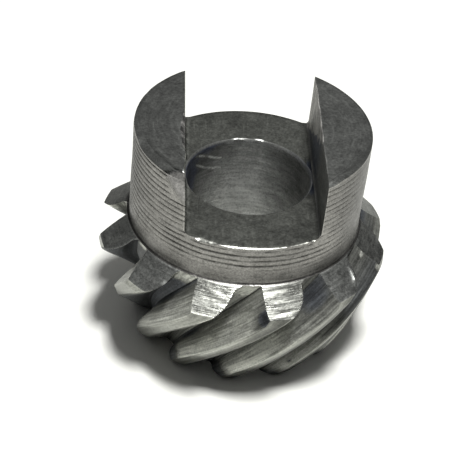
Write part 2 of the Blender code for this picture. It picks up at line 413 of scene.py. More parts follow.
def groove(d, deg):
    """How far the turned surface lies under the full radius."""
    x = (d - FIRST_CREST) / PITCH
    number = np.floor(x)
    f = x - number - 0.5
    valley = np.maximum(1 - np.abs(f) / 0.25, 0.0) ** 1.2
    own = noise(number * 3.7, 0.5, 0.5, 11)  # each groove has its own depth
    a = around(deg, 2.2, d * 1.5)
    uneven = fbm(*a, 12, 2)
    fine = noise(*around(deg, 16.0, number * 5.1), 13)
    depth = 0.0060 * (1 + 0.20 * own + 0.22 * uneven + 0.35 * fine)
    # the lowest band and the sides of the two jaws were taken by a finer cut
    plain = 1 - smooth(d, 0.735, 0.775)
    side = (deg + 180) % 360 - 180
    share = np.interp(
        side, (-180, -165, -150, -135, -112, -95, -80, -68, -42, -34, -28, 20, 60, 120, 180),
        (1.0, 1.0, 0.95, 1.0, 1.1, 1.05, 0.85, 0.9, 0.72, 0.4, 0.12, 0.1, 0.5, 0.9, 1.0),
    )
    worn_tip = smooth(side, -136, -129) * (1 - smooth(side, -110, -106)) * (1 - smooth(d, 0.18, 0.27))
    share = share * (1 - worn_tip)
    fine_cut = 0.0009 * (1 - plain) * noise(d * 150, 0.3, number * 0.1, 15)
    wave = 0.0010 * fbm(*around(deg, 5.0, d * 6.0), 14, 3)
    return np.maximum(depth, 0.0006) * valley * np.maximum(plain, 0.06) * share - wave - fine_cut


def hub_tone(deg, d):
    """Painted light and shade on the hub: lighter at the front and the back, darker at its sides and low down,
    painted shade at the foot, and random tone.
    """
    side = (deg + 180) % 360 - 180
    front = smooth(side, -174, -132) * (1 - smooth(side, -60, -20)) * (1 - 0.14 * smooth(side, -112, -95))
    front = front + 0.6 * smooth(side, 15, 60) * (1 - smooth(side, 130, 168))
    low = smooth(d, 0.70, 0.80)
    foot = smooth(d, 0.80, 0.87)
    out = -0.50 + (0.72 - 0.30 * low) * front + 0.12 * fbm(*around(deg, 3.0, d * 3.0), 17, 3)
    out = out - 0.30 * low * smooth(side, -80, -50) * (1 - smooth(side, -42, -34))
    out = out + 0.08 * smooth(d, 0.45, 0.62) * (1 - smooth(side, -140, -120))
    return out - 0.36 * foot * (1 - smooth(side, -128, -112)) - 0.15 * foot * smooth(side, -70, -50)


def rim_width(deg):
    """Width of the broken edge where the slot floor meets the hub wall."""
    side = (deg + 180) % 360 - 180
    wide = np.interp(side, RIM[:, 0], RIM[:, 1])
    torn = 1 + 0.12 * noise(deg * 0.55, 0.2, 0.7, 21) + 0.14 * noise(deg * 1.7, 0.2, 0.7, 22)
    gaps = 1 - 0.7 * smooth(noise(deg * 0.8, 0.6, 0.1, 23), 0.05, 0.4) * smooth(side, -83, -78)
    return np.maximum(wide * torn * gaps, 0.002)


def build():
    store = Store()
    ts = sections()
    rings = np.stack([np.concatenate([ring_points(t, k) for k in range(TEETH)]) for t in ts])
    per = rings.shape[1] // TEETH
    deg, r, d, u = (rings[..., i] for i in range(4))

    # marks of the cutter along the teeth, a little unevenness and small dents
    heel_keep = smooth(ts, 0.0, 0.03)[:, None]
    toe_keep = 1 - smooth(ts, 0.99, 1.0)[:, None]
    number = np.repeat(np.arange(TEETH), per)[None, :]
    run = ts[:, None] * 13.0
    level = u * 4.5 + number * 9.1
    on_tip = smooth(u, 0.93, 0.985)
    marks = 0.0016 * fbm(run * 0.10, level * 3.0, number * 1.0 + np.sign(deg) * 0, 31, 2)
    marks += 0.0012 * fbm(*around(deg, 7.0, d * 7.0), 32, 2)
    r = r + marks * heel_keep * toe_keep * (1 - 0.4 * on_tip)
    chips = np.maximum(0.0, noise(run * 1.6, number * 3.3, on_tip * 0 + 0.5, 33) - 0.45)
    r = r - 0.012 * chips * smooth(u, 0.96, 1.0) * heel_keep * toe_keep
    ring_ids = store.add(deg, r, d)

    # grain of the flanks: along the tooth and up the flank
    length = np.concatenate([[0], np.cumsum(np.diff(ts) * 1.42 * MM)])[:, None]
    index = np.arange(per)
    flank_end, land_end = FLANK + 2, FLANK + 2 + LAND + 1
    right_end = land_end + 2 + FLANK
    for k in range(TEETH):
        cols = (k * per + np.arange(per + 1)) % (per * TEETH)
        ids = ring_ids[:, cols]
        height = u[:, cols] * 0.27 * MM
        along = np.broadcast_to(length, ids.shape) + 31.0 * k
        a, b = FLANK - 1 + 1, FLANK + 2 + LAND  # the land lies between these columns
        tt = np.broadcast_to(ts[:, None], ids.shape)
        uu = u[:, cols]
        tone = flank_tone(k, tt[:, : a + 1], uu[:, : a + 1], False)
        store.grid(ids[:, : a + 1], along[:, : a + 1], height[:, : a + 1], FLANKS, tone)
        cross = np.linspace(0, 1.2, b - a + 1)[None, :] + 40.0
        # land tone: lighter on teeth 0 and 1, painted shade towards the toe and near the heel
        land_tone = {0: 0.40, 1: 0.30, 2: -0.10}.get(k, 0.0) - 0.65 * smooth(tt[:, a : b + 1], 0.87, 0.98)
        near_heel = 1 - smooth(tt[:, a : b + 1], 0.10, 0.42)
        land_tone = land_tone - {0: 0.72, 1: 0.50, 2: 0.25}.get(k, 0.0) * near_heel
        if k in (0, 1, 2):  # painted shade along the far edge of these lands
            far = np.linspace(0, 1, b - a + 1)[None, :]
            land_tone = land_tone - 0.75 * smooth(far, 0.50, 0.85) * (1 - 0.6 * near_heel)
        store.grid(ids[:, a : b + 1], along[:, a : b + 1], cross, LANDS, land_tone)
        tone = flank_tone(k, tt[:, b:right_end], uu[:, b:right_end], True)
        store.grid(ids[:, b:right_end], along[:, b:right_end], height[:, b:right_end] + 60.0, FLANKS, tone)
        gap = np.linspace(0, 0.10 * MM, per + 2 - right_end)[None, :]
        gap_t = tt[:, right_end - 1 :]
        # gap floor: painted shade, with painted light near the heel of some teeth, partly brushed metal
        brushed_and_lighting = {10: 1.6, 11: 2.1}.get(k, 0.0) * (1 - smooth(gap_t, 0.03, 0.15)) - {10: 0.72, 11: 0.26}.get(k, 0.56)
        if k == 0:
            brushed_and_lighting = brushed_and_lighting + 0.50 * (1 - smooth(gap_t, 0.20, 0.45))
        if k == 9:  # a small painted highlight
            middle = np.sin(np.pi * np.linspace(0, 1, gap_t.shape[1]))[None, :] ** 2
            brushed_and_lighting = brushed_and_lighting + 3.6 * middle * np.exp(-(((gap_t - 0.030) / 0.020) ** 2))
        store.grid(ids[:, right_end - 1 :], along[:, right_end - 1 :], gap + 80.0, FLANKS, brushed_and_lighting)

    # heel faces
    foot_ids, foot_deg = [], []
    for k in range(TEETH):
        start = k * per
        left = start + np.arange(FLANK)
        right = start + right_end - 1 - np.arange(FLANK)
        f = np.linspace(0, 1, FACE + 1)[None, :]
        l_deg, r_deg = deg[0, left][:, None], deg[0, right][:, None]
        g_deg = l_deg + (r_deg - l_deg) * f
        g_r = r[0, left][:, None] * (1 - f) + r[0, right][:, None] * f
        g_d = d[0, left][:, None] * (1 - f) + d[0, right][:, None] * f
        level = u[0, left][:, None]
        inner = np.sin(np.pi * f) ** 0.5 * smooth(level, 0.0, 0.12) * 1.0
        # two heels were scraped harder, and show it as lines across the tooth
        hard = 1.0 if k in (0, 11) else 0.4
        rough = 0.0022 * hard * fbm(g_deg * 0.12, level * 12.0, k * 2.7, 41, 2)
        rough += 0.0024 * hard * noise(g_deg * 0.25, level * 30.0, k * 1.3, 42)
        rough -= 0.0030 * np.sin(np.pi * f) * np.sin(np.pi * np.clip(level / 0.95, 0, 1))
        if k == 1:  # a bruise with a raised lip at the right edge
            bruise = np.exp(-(((f - 0.90) / 0.05) ** 2))
            rough = rough + 0.012 * bruise * smooth(level, 0.22, 0.36) * (1 - smooth(level, 0.62, 0.78))
        lift = rough * inner  # along the normal of the face, which looks up and out
        g_r, g_d = g_r + lift * 0.62, g_d - lift * 0.78
        ids = store.add(g_deg, g_r, g_d)
        ids[:, 0], ids[:, -1] = ring_ids[0, left], ring_ids[0, right]
        arc = np.radians(g_deg) * 1.1 * MM
        out = level * 0.31 * MM + 3.0 * k
        heel_tone = HEEL_TONE.get(k, 0.0)
        if k == 9:  # a painted highlight along the right edge of this heel
            heel_tone = heel_tone + 1.3 * smooth(np.broadcast_to(f, ids.shape), 0.93, 0.99)
        # a painted glint along the bruise
        if k == 1:
            shown = smooth(level, 0.20, 0.34) * (1 - smooth(level, 0.62, 0.78))
            heel_tone = heel_tone + 2.2 * bruise * shown
        if k == 10:  # a bright speck on the right edge
            heel_tone = heel_tone + 3.2 * np.exp(-(((f - 0.97) / 0.04) ** 2) - ((level - 0.45) / 0.06) ** 2)
        heel_kind = HEEL if k in (0, 11) else DULL
        store.grid(ids, arc, np.broadcast_to(out, ids.shape), heel_kind, heel_tone)
        tip = start + np.arange(FLANK - 1, right_end - FLANK + 1)
        tip_ids, last = ring_ids[0, tip], ids[-1]
        place = g_deg[-1]
        tip_place = deg[0, tip]
        store.zip(
            list(last), list(tip_ids), list(place), list(tip_place),
            [(x, out[-1, 0], HEEL_TONE.get(k, 0.0)) for x in arc[-1]],
            [(math.radians(x) * 1.1 * MM, 0.93 * 0.31 * MM + 3.0 * k, HEEL_TONE.get(k, 0.0)) for x in tip_place],
            heel_kind,
        )
        foot_ids += list(ids[0]) + list(ring_ids[0, start + right_end : start + per])
        foot_deg += list(g_deg[0]) + list(deg[0, start + right_end : start + per])
    foot_ids, foot_deg = np.array(foot_ids), np.array(foot_deg)
    columns = len(foot_ids)

    # columns of the hub: at the foot they meet the teeth, and higher up four of them run
    # on the vertical edges of the slot
    corner_deg = math.degrees(math.acos(SLOT_HALF_FLOOR))
    wanted = np.array([-corner_deg, corner_deg, 180 - corner_deg, 180 + corner_deg])
    turned = (foot_deg - wanted[:, None] + 180) % 360 - 180
    corners = [int(np.argmin(abs(row))) for row in turned]

    def shifts(targets):
        """Turn of every column, from the turn of the four corner columns."""
        order = sorted(range(4), key=lambda i: corners[i])
        xs = [corners[i] for i in order]
        ys = [targets[i] for i in order]
        xs = [xs[-1] - columns] + xs + [xs[0] + columns]
        ys = [ys[-1]] + ys + [ys[0]]
        return np.interp(np.arange(columns), xs, ys)

    depths, floor_row = hub_depths()
    edge_row = floor_row + 2
    in_slot = np.zeros(columns, bool)
    cr, cu, cl, cd = corners  # front right, rear right, rear left, front left
    walk = lambda a, b: (a + np.arange((b - a) % columns + 1)) % columns
    right_jaw, rear_arc, left_jaw, front_arc = walk(cr, cu), walk(cu, cl), walk(cl, cd), walk(cd, cr)
    in_slot[rear_arc[1:-1]] = in_slot[front_arc[1:-1]] = True
    corner_sides = (1, 1, -1, -1)

    def hub_ring(depth, inset=None):
        """Angles and radii of one ring of the hub wall, for one depth per column."""
        fade = 1 - smooth(depth, SLOT_DEPTH, HUB_LENGTH)
        angles = foot_deg + 0.0
        for _ in range(3):  # the corners lie where the wall plane meets the grooved surface
            g = groove(depth, angles) if inset is None else inset(angles)
            turns = []
            for c, side, base, sign in zip(corners, corner_sides, (0, 0, 180, 180), (-1, 1, -1, 1)):
                a = math.degrees(math.acos(float(wall_half(depth[c], side)) / (1 - g[c])))
                turns.append((base + sign * a - foot_deg[c] + 180) % 360 - 180)
            angles = foot_deg + shifts(turns) * fade
        return angles, 1 - g

    # the rows are lifted where the fillets of the slot run out through the hub wall
    lift = np.zeros(columns)
    for c, side in zip(corners, corner_sides):
        away = np.abs((np.arange(columns) - c + columns // 2) % columns - columns // 2)
        mine = FOOT * WALL[side][2] * np.clip(1 - away / 6.0, 0, 1)
        lift = np.maximum(lift, mine)
    start_deg, _ = hub_ring(SLOT_DEPTH - lift)
    lift = np.where(in_slot, foot_height(np.cos(np.radians(start_deg))), lift)

    def squeeze(depth):
        if depth <= SLOT_DEPTH:
            return min(1.0, max(0.0, (depth - 0.40) / 0.12))
        return max(0.0, 1 - (depth - SLOT_DEPTH) / 0.06)

    near_corner = np.min(
        [np.abs((start_deg - start_deg[c] + 180) % 360 - 180) for c in corners], axis=0
    )
    front = np.sin(np.radians(start_deg)) < 0
    rim = np.where(front, rim_width(start_deg), 0.008) * in_slot * smooth(near_corner, 0.0, 3.0)
    rim_drop = 0.6 * rim

    hub_deg, hub_r, hub_d = [], [], []
    for row, depth in enumerate(depths):
        level = np.full(columns, depth) - lift * squeeze(depth)
        if row == 0:
            for _ in range(2):
                level = jaw_edge(hub_ring(level)[0])[1]
        if floor_row < row and depth < 0.604:
            push = np.where(in_slot, rim_drop, 0.004)
            low = SLOT_DEPTH + push + (depth - SLOT_DEPTH - 0.004) * (1 - (push - 0.004) / 0.08)
            if row < edge_row:
                low = SLOT_DEPTH + 0.35 * push
            level = np.where(in_slot, low - lift * squeeze(depth), level)
        angles, radii = hub_ring(level)
        if row in (floor_row, floor_row + 1):
            radii = radii - rim * (1.0 if row == floor_row else 0.42)
        near = min(abs(depth - depths[0]), abs(depth - SLOT_DEPTH), abs(depth - 0.84))
        keep = min(1.0, near / 0.05)
        wander = 0.0048 * np.sin(np.radians(angles + 97)) * keep
        wander += 0.0018 * noise(*around(angles, 3.0, depth * 9.0), 16) * keep
        wander += 0.0011 * noise(*around(angles, 13.0, depth * 9.0), 18) * keep
        # a shallow relief runs round the foot of the hub
        radii = radii - 0.0008 * np.exp(-(((depth - 0.861) / 0.009) ** 2))
        hub_deg.append(angles)
        hub_r.append(radii)
        hub_d.append(level + wander)
    hub_deg, hub_r, hub_d = map(np.array, (hub_deg, hub_r, hub_d))
    hub_ids = store.add(hub_deg, hub_r, hub_d)
    closed = np.append(np.arange(columns), 0)

    def arc_mm(angles, radius=1.0):
        """Place along the arc for a closed row of angles, with no jump at its end."""
        turned = np.unwrap(np.radians(angles))
        return turned * radius * MM

    wall = hub_ids[:, closed]
    wall_arc = np.array([arc_mm(row[closed]) for row in hub_deg])
    wall_arc[:, -1] = wall_arc[:, 0] + 2 * math.pi * MM
    across = np.broadcast_to(depths[:, None] * MM, wall.shape)
    tones = hub_tone(hub_deg, hub_d)
    wall_tone = tones[:, closed]
    store.grid(wall[edge_row:], wall_arc[edge_row:], across[edge_row:], TURNED, wall_tone[edge_row:])
    # the broken edge of the slot floor is scraped bright where it is wide
    for j in range(columns):
        two = closed[j : j + 2]
        scraped = in_slot[two].any() and rim[two].max() > 0.0085 and front[two].all()
        part = slice(floor_row, edge_row + 1)
        cells = (part, slice(j, j + 2))
        store.grid(
            wall[cells], wall_arc[cells], across[cells], EDGE if scraped else TURNED,
            0.0 if scraped else wall_tone[cells],
        )
    for jaw in (right_jaw, left_jaw):
        ids = hub_ids[: floor_row + 1][:, jaw]
        arc = np.array([arc_mm(row[jaw]) for row in hub_deg[: floor_row + 1]])
        store.grid(
            ids, arc, np.broadcast_to(depths[: floor_row + 1, None] * MM, ids.shape), TURNED,
            tones[: floor_row + 1][:, jaw],
        )

    # the fillet between the hub and the heel faces
    rows = [hub_ids[-1]]
    for a in (30, 60):
        c, s = math.cos(math.radians(a)), math.sin(math.radians(a))
        rows.append(store.add(foot_deg, 1 + ROOT_FILLET * (1 - c), HUB_LENGTH + ROOT_FILLET * s))
    rows.append(foot_ids)
    fillet = np.array(rows)[:, closed]
    place = np.array([0.0, 0.01, 0.02, 0.03])[:, None] * MM + HUB_LENGTH * MM
    store.grid(
        fillet, np.broadcast_to(wall_arc[-1], fillet.shape), np.broadcast_to(place, fillet.shape),
        TURNED, np.broadcast_to(wall_tone[-1], fillet.shape),
    )

    # ---- jaws: worn edge, crescent top, slot wall ----
    mouth_r = MOUTH + 0.0012 * fbm(*around(hub_deg[floor_row], 5.0, 0.0), 61, 3)
    cosine = np.cos(np.radians(hub_deg[floor_row]))
    bottom = {}  # the last point above the slot floor, column by column
    drop = hub_d[0]
    for jaw, sign in ((right_jaw, 1), (left_jaw, -1)):
        n = len(jaw)
        share = np.linspace(0, 1, n)
        taper = np.minimum(1.0, np.minimum(share, 1 - share) * n / 6.0)  # 0 at both corners
        top, low, fillet = WALL[sign]
        edge_ids, edge_deg, edge_d = [hub_ids[0][jaw]], [hub_deg[0][jaw]], [drop[jaw]]
        for f in (0.35, 0.7, 1.0):
            level = drop * (1 - f) ** 1.35
            angles, radii = hub_ring(level, lambda a: jaw_edge(a)[0] * f)
            edge_ids.append(store.add(angles[jaw], radii[jaw], level[jaw]))
            edge_deg.append(angles[jaw])
            edge_d.append(level[jaw])
        outer_r = radii[jaw]
        rows = np.array(edge_ids)
        arc = arc_mm(edge_deg[0])
        side = (edge_deg[-1] + 60) % 360 - 60
        # painted shade on the worn outer edge band of the jaws
        band = -0.12 - 0.15 * smooth(side, 196, 202) * (sign < 0)
        band = band - 0.16 * smooth(side, -56, -44) * (1 - smooth(side, -14, -4)) * (sign > 0)
        store.grid(
            rows[::-1], np.broadcast_to(arc, rows.shape),
            np.broadcast_to((np.array([0.0, 0.2, 0.4, 0.6])[:, None]), rows.shape), JAW,
            np.broadcast_to(band, rows.shape),
        )
        # crescent
        angles = edge_deg[-1]
        round_in = 0.007 * taper
        stray = LEFT_EDGE if sign < 0 else RIGHT_EDGE
        y_top = top * np.tan(np.radians(angles)) * sign
        reach_in = np.interp(y_top, stray[:, 0], stray[:, 1]) * taper
        reach_in = reach_in + (0.0042 if sign > 0 else 0.0028) * noise(y_top * 11.0, sign * 2.0, 0.5, 56) * taper
        inner_r = np.minimum((top + round_in - reach_in) / np.abs(np.cos(np.radians(angles))), outer_r)
        steps = 12
        crescent, radii, crescent_tone = [edge_ids[-1]], [outer_r], [np.full(n, 0.06 * sign)]
        rubbed = smooth(y_top, -0.60, -0.45) * (1 - smooth(y_top, -0.02, 0.08)) * (sign < 0)
        for i in range(1, steps + 1):
            rr = outer_r + (inner_r - outer_r) * (i / steps) ** 1.5
            bump = 0.0007 * fbm(*around(angles, 6.0 * rr, 0.0), 52, 3) * taper * (i < steps)
            ids = store.add(angles, rr, np.maximum(0, bump) if i < steps else 0 * bump)
            ids[0], ids[-1] = edge_ids[-1][0], edge_ids[-1][-1]
            crescent.append(ids)
            radii.append(rr)
            # painted shade along the inner boundary of the worn edge on the left jaw
            line = -0.50 * np.exp(-(((outer_r - rr - 0.010) / 0.016) ** 2)) * smooth(side, 188, 200)
            inside = (rr - inner_r) * np.abs(np.cos(np.radians(angles)))
            light = 0.40 * rubbed * np.exp(-((inside / (0.024 + 0.010 * noise(y_top * 9, 0.3, 0.1, 59))) ** 2))
            crescent_tone.append(line * (sign < 0) + 0.06 * sign + light)
        crescent, radii = np.array(crescent), np.array(radii)
        store.grid(
            crescent[::-1], (np.radians(angles)[None, :] * radii * MM)[::-1], (radii * MM)[::-1],
            JAW, np.array(crescent_tone)[::-1],
        )
        # slot wall, from the crescent down; its two end columns are those of the hub wall
        reach = np.minimum(mouth_r[jaw], (low - 0.0015 - sign * BORE_SHIFT[0]) / np.abs(cosine[jaw]))
        mouth_x = reach * np.abs(cosine[jaw]) + sign * BORE_SHIFT[0]
        end = np.maximum(FOOT * fillet, foot_height(mouth_x * sign) + 0.0025)
        end[0] = end[-1] = FOOT * fillet
        mouth_r[jaw] = reach
        rows, ys, zs, dark = [crescent[-1]], [y_top * MM], [np.zeros(n)], [0.9 * rubbed]
        wall_rows = [(edge_ids[i], edge_deg[i], edge_d[i]) for i in (2, 1, 0)]
        wall_rows += [(hub_ids[i][jaw], hub_deg[i][jaw], None) for i in range(1, floor_row + 1)]
        for i, (common, angle, given) in enumerate(wall_rows):
            if given is not None:
                here = given[0] + (given[-1] - given[0]) * share
            else:
                here = depths[i - 2] - end * squeeze(depths[i - 2])
            tan = np.tan(np.radians(angle)) * sign
            y = wall_half(here, sign) * tan
            wob = 0.0010 * fbm(y * 2.5, here * 7.0, sign * 3.0, 53, 3)
            wob = wob + 0.0006 * noise(y * 1.0, here * 38.0, sign, 54)
            x = wall_half(here, sign) + wob * taper * smooth(here, 0.005, 0.03)
            x = x + round_in * np.clip(1 - here / 0.012, 0, 1) ** 2
            x = x - reach_in * np.clip(1 - here / 0.045, 0, 1)
            ids = store.add(angle, x / np.abs(np.cos(np.radians(angle))), here)
            ids[0], ids[-1] = common[0], common[-1]
            rows.append(ids)
            ys.append(y * MM)
            zs.append(here * MM)
            foot = smooth(here, SLOT_DEPTH - 0.06, SLOT_DEPTH - 0.02)
            # painted shade on the right wall, a little lighter at its front; painted light on the front of the left
            # wall
            if sign > 0:
                rear = smooth(y, -0.35, 0.15) * (1 - foot)
                worn = 0.5 + 0.5 * smooth(noise(y * 9.0, here * 22.0, 0.7, 57), -0.2, 0.5)
                painted_light = 0.12 * (1 - smooth(y, -0.35, 0.15)) * (1 - foot)
                dark.append(painted_light - 0.52 + 0.10 * foot - (0.12 - 0.12 * worn * smooth(y, 0.30, 0.45)) * rear)
            else:
                painted_light = 1.40 * (1 - smooth(y, -0.32, -0.12))
                dark.append(0.10 * foot + painted_light + 0.9 * rubbed * (1 - smooth(here, 0.02, 0.05)))
        rows, ys, zs, dark = np.array(rows), np.array(ys) + 20 * sign, np.array(zs), np.array(dark)
        low_kind = BORED if sign > 0 else MILLED
        # a ragged wedge along the rear of the right wall is scraped metal painted light, with painted shade
        #         # below it, and a worn strip lies along part of the left one
        ragged = 0.05 * noise(y_top * 14, 0.2, 0.6, 70) + 0.03 * noise(y_top * 40, 0.2, 0.6, 71)
        limit = (SLOT_DEPTH * (y_top + 0.24) / 1.00 + ragged) * MM
        scraped = 0.75 + 0.9 * noise(ys * 1.6, zs * 1.1, 0.3, 72) + 0.5 * noise(ys * 5, zs * 3, 0.3, 73)
        if sign < 0:
            limit = np.where(reach_in < -0.006, 0.046, 0.0) * MM
            scraped = 0.7 * scraped - 1.05
        for j in range(n - 1):
            m = int(np.sum(zs[:, j : j + 2].mean(axis=1) < limit[j : j + 2].mean())) - 1
            m = min(max(m, 0), len(rows) - 1)
            for part, tones, kind in ((slice(0, m + 1), scraped, FILED), (slice(m, None), dark, low_kind)):
                cells = (part, slice(j, j + 2))
                if len(rows[cells]) > 1:
                    store.grid(rows[cells][::-1], ys[cells][::-1], zs[cells][::-1], kind, tones[cells][::-1])
        for c, i in zip(jaw, rows[-1]):
            bottom[int(c)] = int(i)

    # ---- slot floor and bore ----
    angles = hub_deg[floor_row]
    rad = np.radians(angles)
    first = np.array([bottom.get(c, int(hub_ids[floor_row][c])) for c in range(columns)])
    all_points = np.concatenate(store.points)
    sx, sy = all_points[first, 0], all_points[first, 1]
    mx, my = BORE_SHIFT[0] + mouth_r * np.cos(rad), BORE_SHIFT[1] + mouth_r * np.sin(rad)
    calm = smooth(np.hypot(sx - mx, sy - my), 0.01, 0.05)
    rows, xs, ys = [first], [sx], [sy]
    steps = 12
    for i in range(1, steps + 1):
        x, y = sx + (mx - sx) * i / steps, sy + (my - sy) * i / steps
        bump = 0.0010 * fbm(x * 5, y * 5, 0.4, 62, 3) + 0.0005 * noise(x * 34, y * 1.5, 0.4, 63)
        level = SLOT_DEPTH - foot_height(x) + bump * calm * (i < steps)
        if i == steps:  # a lip of torn metal stands at the rear of the bore
            at_rear = 1 - smooth(np.abs((angles + 180) % 360 - 180 - 88), 11, 17)
            lip = at_rear * smooth(noise(mx * 22, my * 6, 0.3, 67), -0.3, 0.2)
            level = level - 0.006 * lip
        rows.append(store.add_xy(x, y, level))
        xs.append(x)
        ys.append(y)
    rows, xs, ys = (np.array(v)[:, closed] for v in (rows, xs, ys))
    # painted shade along the foot of the right wall, lighter towards the rear, light specks on the left, and a
    # painted highlight along the burr at the rear of the bore
    beside = np.exp(-(((ys - 0.02) / 0.30) ** 4))
    floor_tone = -(0.10 + 0.75 * beside) * smooth(xs, 0.490, 0.525) + 0.10 * smooth(ys, -0.3, 0.3)
    floor_tone = floor_tone + 0.7 * smooth(-xs, 0.495, 0.520) * smooth(noise(xs * 30, ys * 24, 0.9, 69), -0.5, 0.4)
    burr_glint = np.exp(-(((np.hypot(xs - BORE_SHIFT[0], ys - BORE_SHIFT[1]) - MOUTH - 0.006) / 0.008) ** 2))
    burr_glint = burr_glint * (1 - smooth(np.abs(np.degrees(np.arctan2(ys, xs)) - 88), 11, 17))
    floor_tone = floor_tone + 0.9 * burr_glint * smooth(noise(xs * 22, ys * 6, 0.3, 67), -0.3, 0.2)
    store.grid(rows[::-1], (ys * MM)[::-1], (xs * MM + 60)[::-1], MILLED, floor_tone[::-1])

    # mouth of the bore, a small broken edge, and the bore
    def bore_ring(radius, depth):
        return store.add_xy(BORE_SHIFT[0] + radius * np.cos(rad), BORE_SHIFT[1] + radius * np.sin(rad), depth)

    mouth_d = SLOT_DEPTH - foot_height(mx)
    # painted shade on the mouth of the bore, with a painted highlight on the burr
    mouth_tone = -0.42 + 1.0 * burr_glint[-1] * smooth(noise(xs[-1] * 22, ys[-1] * 6, 0.3, 67), -0.3, 0.2)
    edge = [rows[-1][:-1]]
    at_right = np.exp(-((np.degrees(np.arctan2(ys[-1], xs[-1])) - 4) / 38) ** 4)
    mouth_tone = mouth_tone - 0.08 * at_right
    for at in (-131.0, -117.0):  # two specks of torn metal, painted bright as highlights
        mouth_tone = mouth_tone + 3.0 * np.exp(-((((np.degrees(np.arctan2(ys[-1], xs[-1])) - at) / 1.1) ** 2)))
    half_d = mouth_d + 0.35 * (SLOT_DEPTH + MOUTH_DEPTH - mouth_d) * (1 - lip) - 0.0003 * lip
    edge.append(bore_ring(0.5 * (mouth_r + BORE) - 0.0012, half_d))
    edge.append(bore_ring(BORE + 0.0006 * fbm(*around(angles, 4.0, 0.0), 64, 2), SLOT_DEPTH + MOUTH_DEPTH))
    edge = np.array(edge)[:, closed]
    def bore_tone(depth):
        """Painted shade on the sides of the bore and painted light on its rear, more so farther down; random tone and
        bright scratches.
        """
        turned = (angles[closed] + 90) % 360 - 90
        deep = smooth(depth, 0.60, 1.10)
        rear = np.exp(-(((turned - 84 - 10 * deep) / (31 + 14 * deep)) ** 2))
        patch = 0.25 * fbm(*around(angles[closed], 2.5, depth * 4.0), 68, 3)
        base = -0.66 + 0.30 * np.exp(-((turned / 56) ** 4)) + 0.16 * np.exp(-(((turned - 90) / 45) ** 4))
        sides = 0.06 * np.exp(-(((turned - 5) / 25) ** 2)) - 0.32 * np.exp(-(((turned - 172) / 26) ** 2))
        out = np.clip(base + sides + rear * (1.08 + 0.87 * deep) + patch, -0.86, 1.4)
        for places in SCRATCHES:
            line = np.interp(-turned, [-p[0] for p in places], [p[1] for p in places], left=9, right=9)
            bright = 1.0 + 0.9 * noise(turned * 0.35, depth * 2.0, 0.4, 74)
            out = out + 1.5 * bright * np.exp(-(((depth - line) / 0.009) ** 2))
        return out

    bore_arc = np.unwrap(rad)[closed] * BORE * MM
    bore_arc[-1] = bore_arc[0] + 2 * math.pi * BORE * MM
    store.grid(
        edge[::-1], np.broadcast_to(bore_arc, edge.shape),
        np.broadcast_to(np.array([0.0, 0.05, 0.1])[::-1][:, None], edge.shape), BORED,
        np.array([mouth_tone, mouth_tone, bore_tone(SLOT_DEPTH) * 0.6 - 0.3])[::-1],
    )
    tones = [bore_tone(SLOT_DEPTH)]
    rows, levels = [edge[-1][:-1]], [SLOT_DEPTH + MOUTH_DEPTH]
    first_rows = np.linspace(SLOT_DEPTH + MOUTH_DEPTH, 0.82, 18)[1:]
    for level in np.append(first_rows, np.linspace(0.82, TOTAL - TOE_CHAMFER, 14)[1:]):
        bump = 0.0012 * fbm(*around(angles, 3.5, level * 6.0), 65, 3)
        bump += 0.0008 * noise(*around(angles, 1.0, level * 30.0), 66)
        rows.append(bore_ring(BORE + bump, np.full(columns, level)))
        levels.append(level)
        tones.append(bore_tone(level))
    rows = np.array(rows)[:, closed]
    levels = np.array(levels)[:, None] * MM
    store.grid(
        rows[::-1], np.broadcast_to(bore_arc, rows.shape), np.broadcast_to(levels[::-1], rows.shape),
        BORED, np.array(tones)[::-1],
    )

    # ---- toe face ----
    inner = [rows[-1][:-1]]
    inner.append(bore_ring(BORE + 0.35 * TOE_CHAMFER, TOTAL - 0.55 * TOE_CHAMFER))
    inner.append(bore_ring(BORE + TOE_CHAMFER, np.full(columns, TOTAL)))
    inner = np.array(inner)[:, closed]
    store.grid(
        inner[::-1], np.broadcast_to(bore_arc, inner.shape),
        np.broadcast_to(np.array([0.0, 0.1, 0.2])[::-1][:, None], inner.shape), TOE,
    )
    rows, radii = [inner[-1][:-1]], [np.full(columns, BORE + TOE_CHAMFER)]
    for rr in np.linspace(BORE + TOE_CHAMFER, ROOT_TOE_R - 0.014, 9)[1:]:
        rows.append(store.add(angles, rr, np.full(columns, TOTAL)))
        radii.append(np.full(columns, rr))
    rows, radii = np.array(rows)[:, closed], np.array(radii)[:, closed]
    turns = np.unwrap(np.radians(angles))[closed]
    turns[-1] = turns[0] + 2 * math.pi
    store.grid(rows[::-1], (turns[None, :] * radii * MM)[::-1], (radii * MM)[::-1], TOE)
    # from there to the outline of the teeth
    outer_ids = ring_ids[-1]
    outer_deg = deg[-1]
    shift = int(np.argmin(np.abs((outer_deg - angles[0] + 180) % 360 - 180)))
    order = (np.arange(len(outer_ids) + 1) + shift) % len(outer_ids)
    outer_turn = np.unwrap(np.radians(outer_deg[order]))
    outer_turn[-1] = outer_turn[0] + 2 * math.pi
    outer_turn += round((turns[0] - outer_turn[0]) / (2 * math.pi)) * 2 * math.pi
    outer_r = r[-1][order]
    store.zip(
        list(rows[-1]), list(outer_ids[order]), list(turns), list(outer_turn),
        [(a * 0.73 * MM, 0.73 * MM, 0.0) for a in turns],
        [(a * q * MM, q * MM, 0.0) for a, q in zip(outer_turn, outer_r)],
        TOE,
    )
    return store


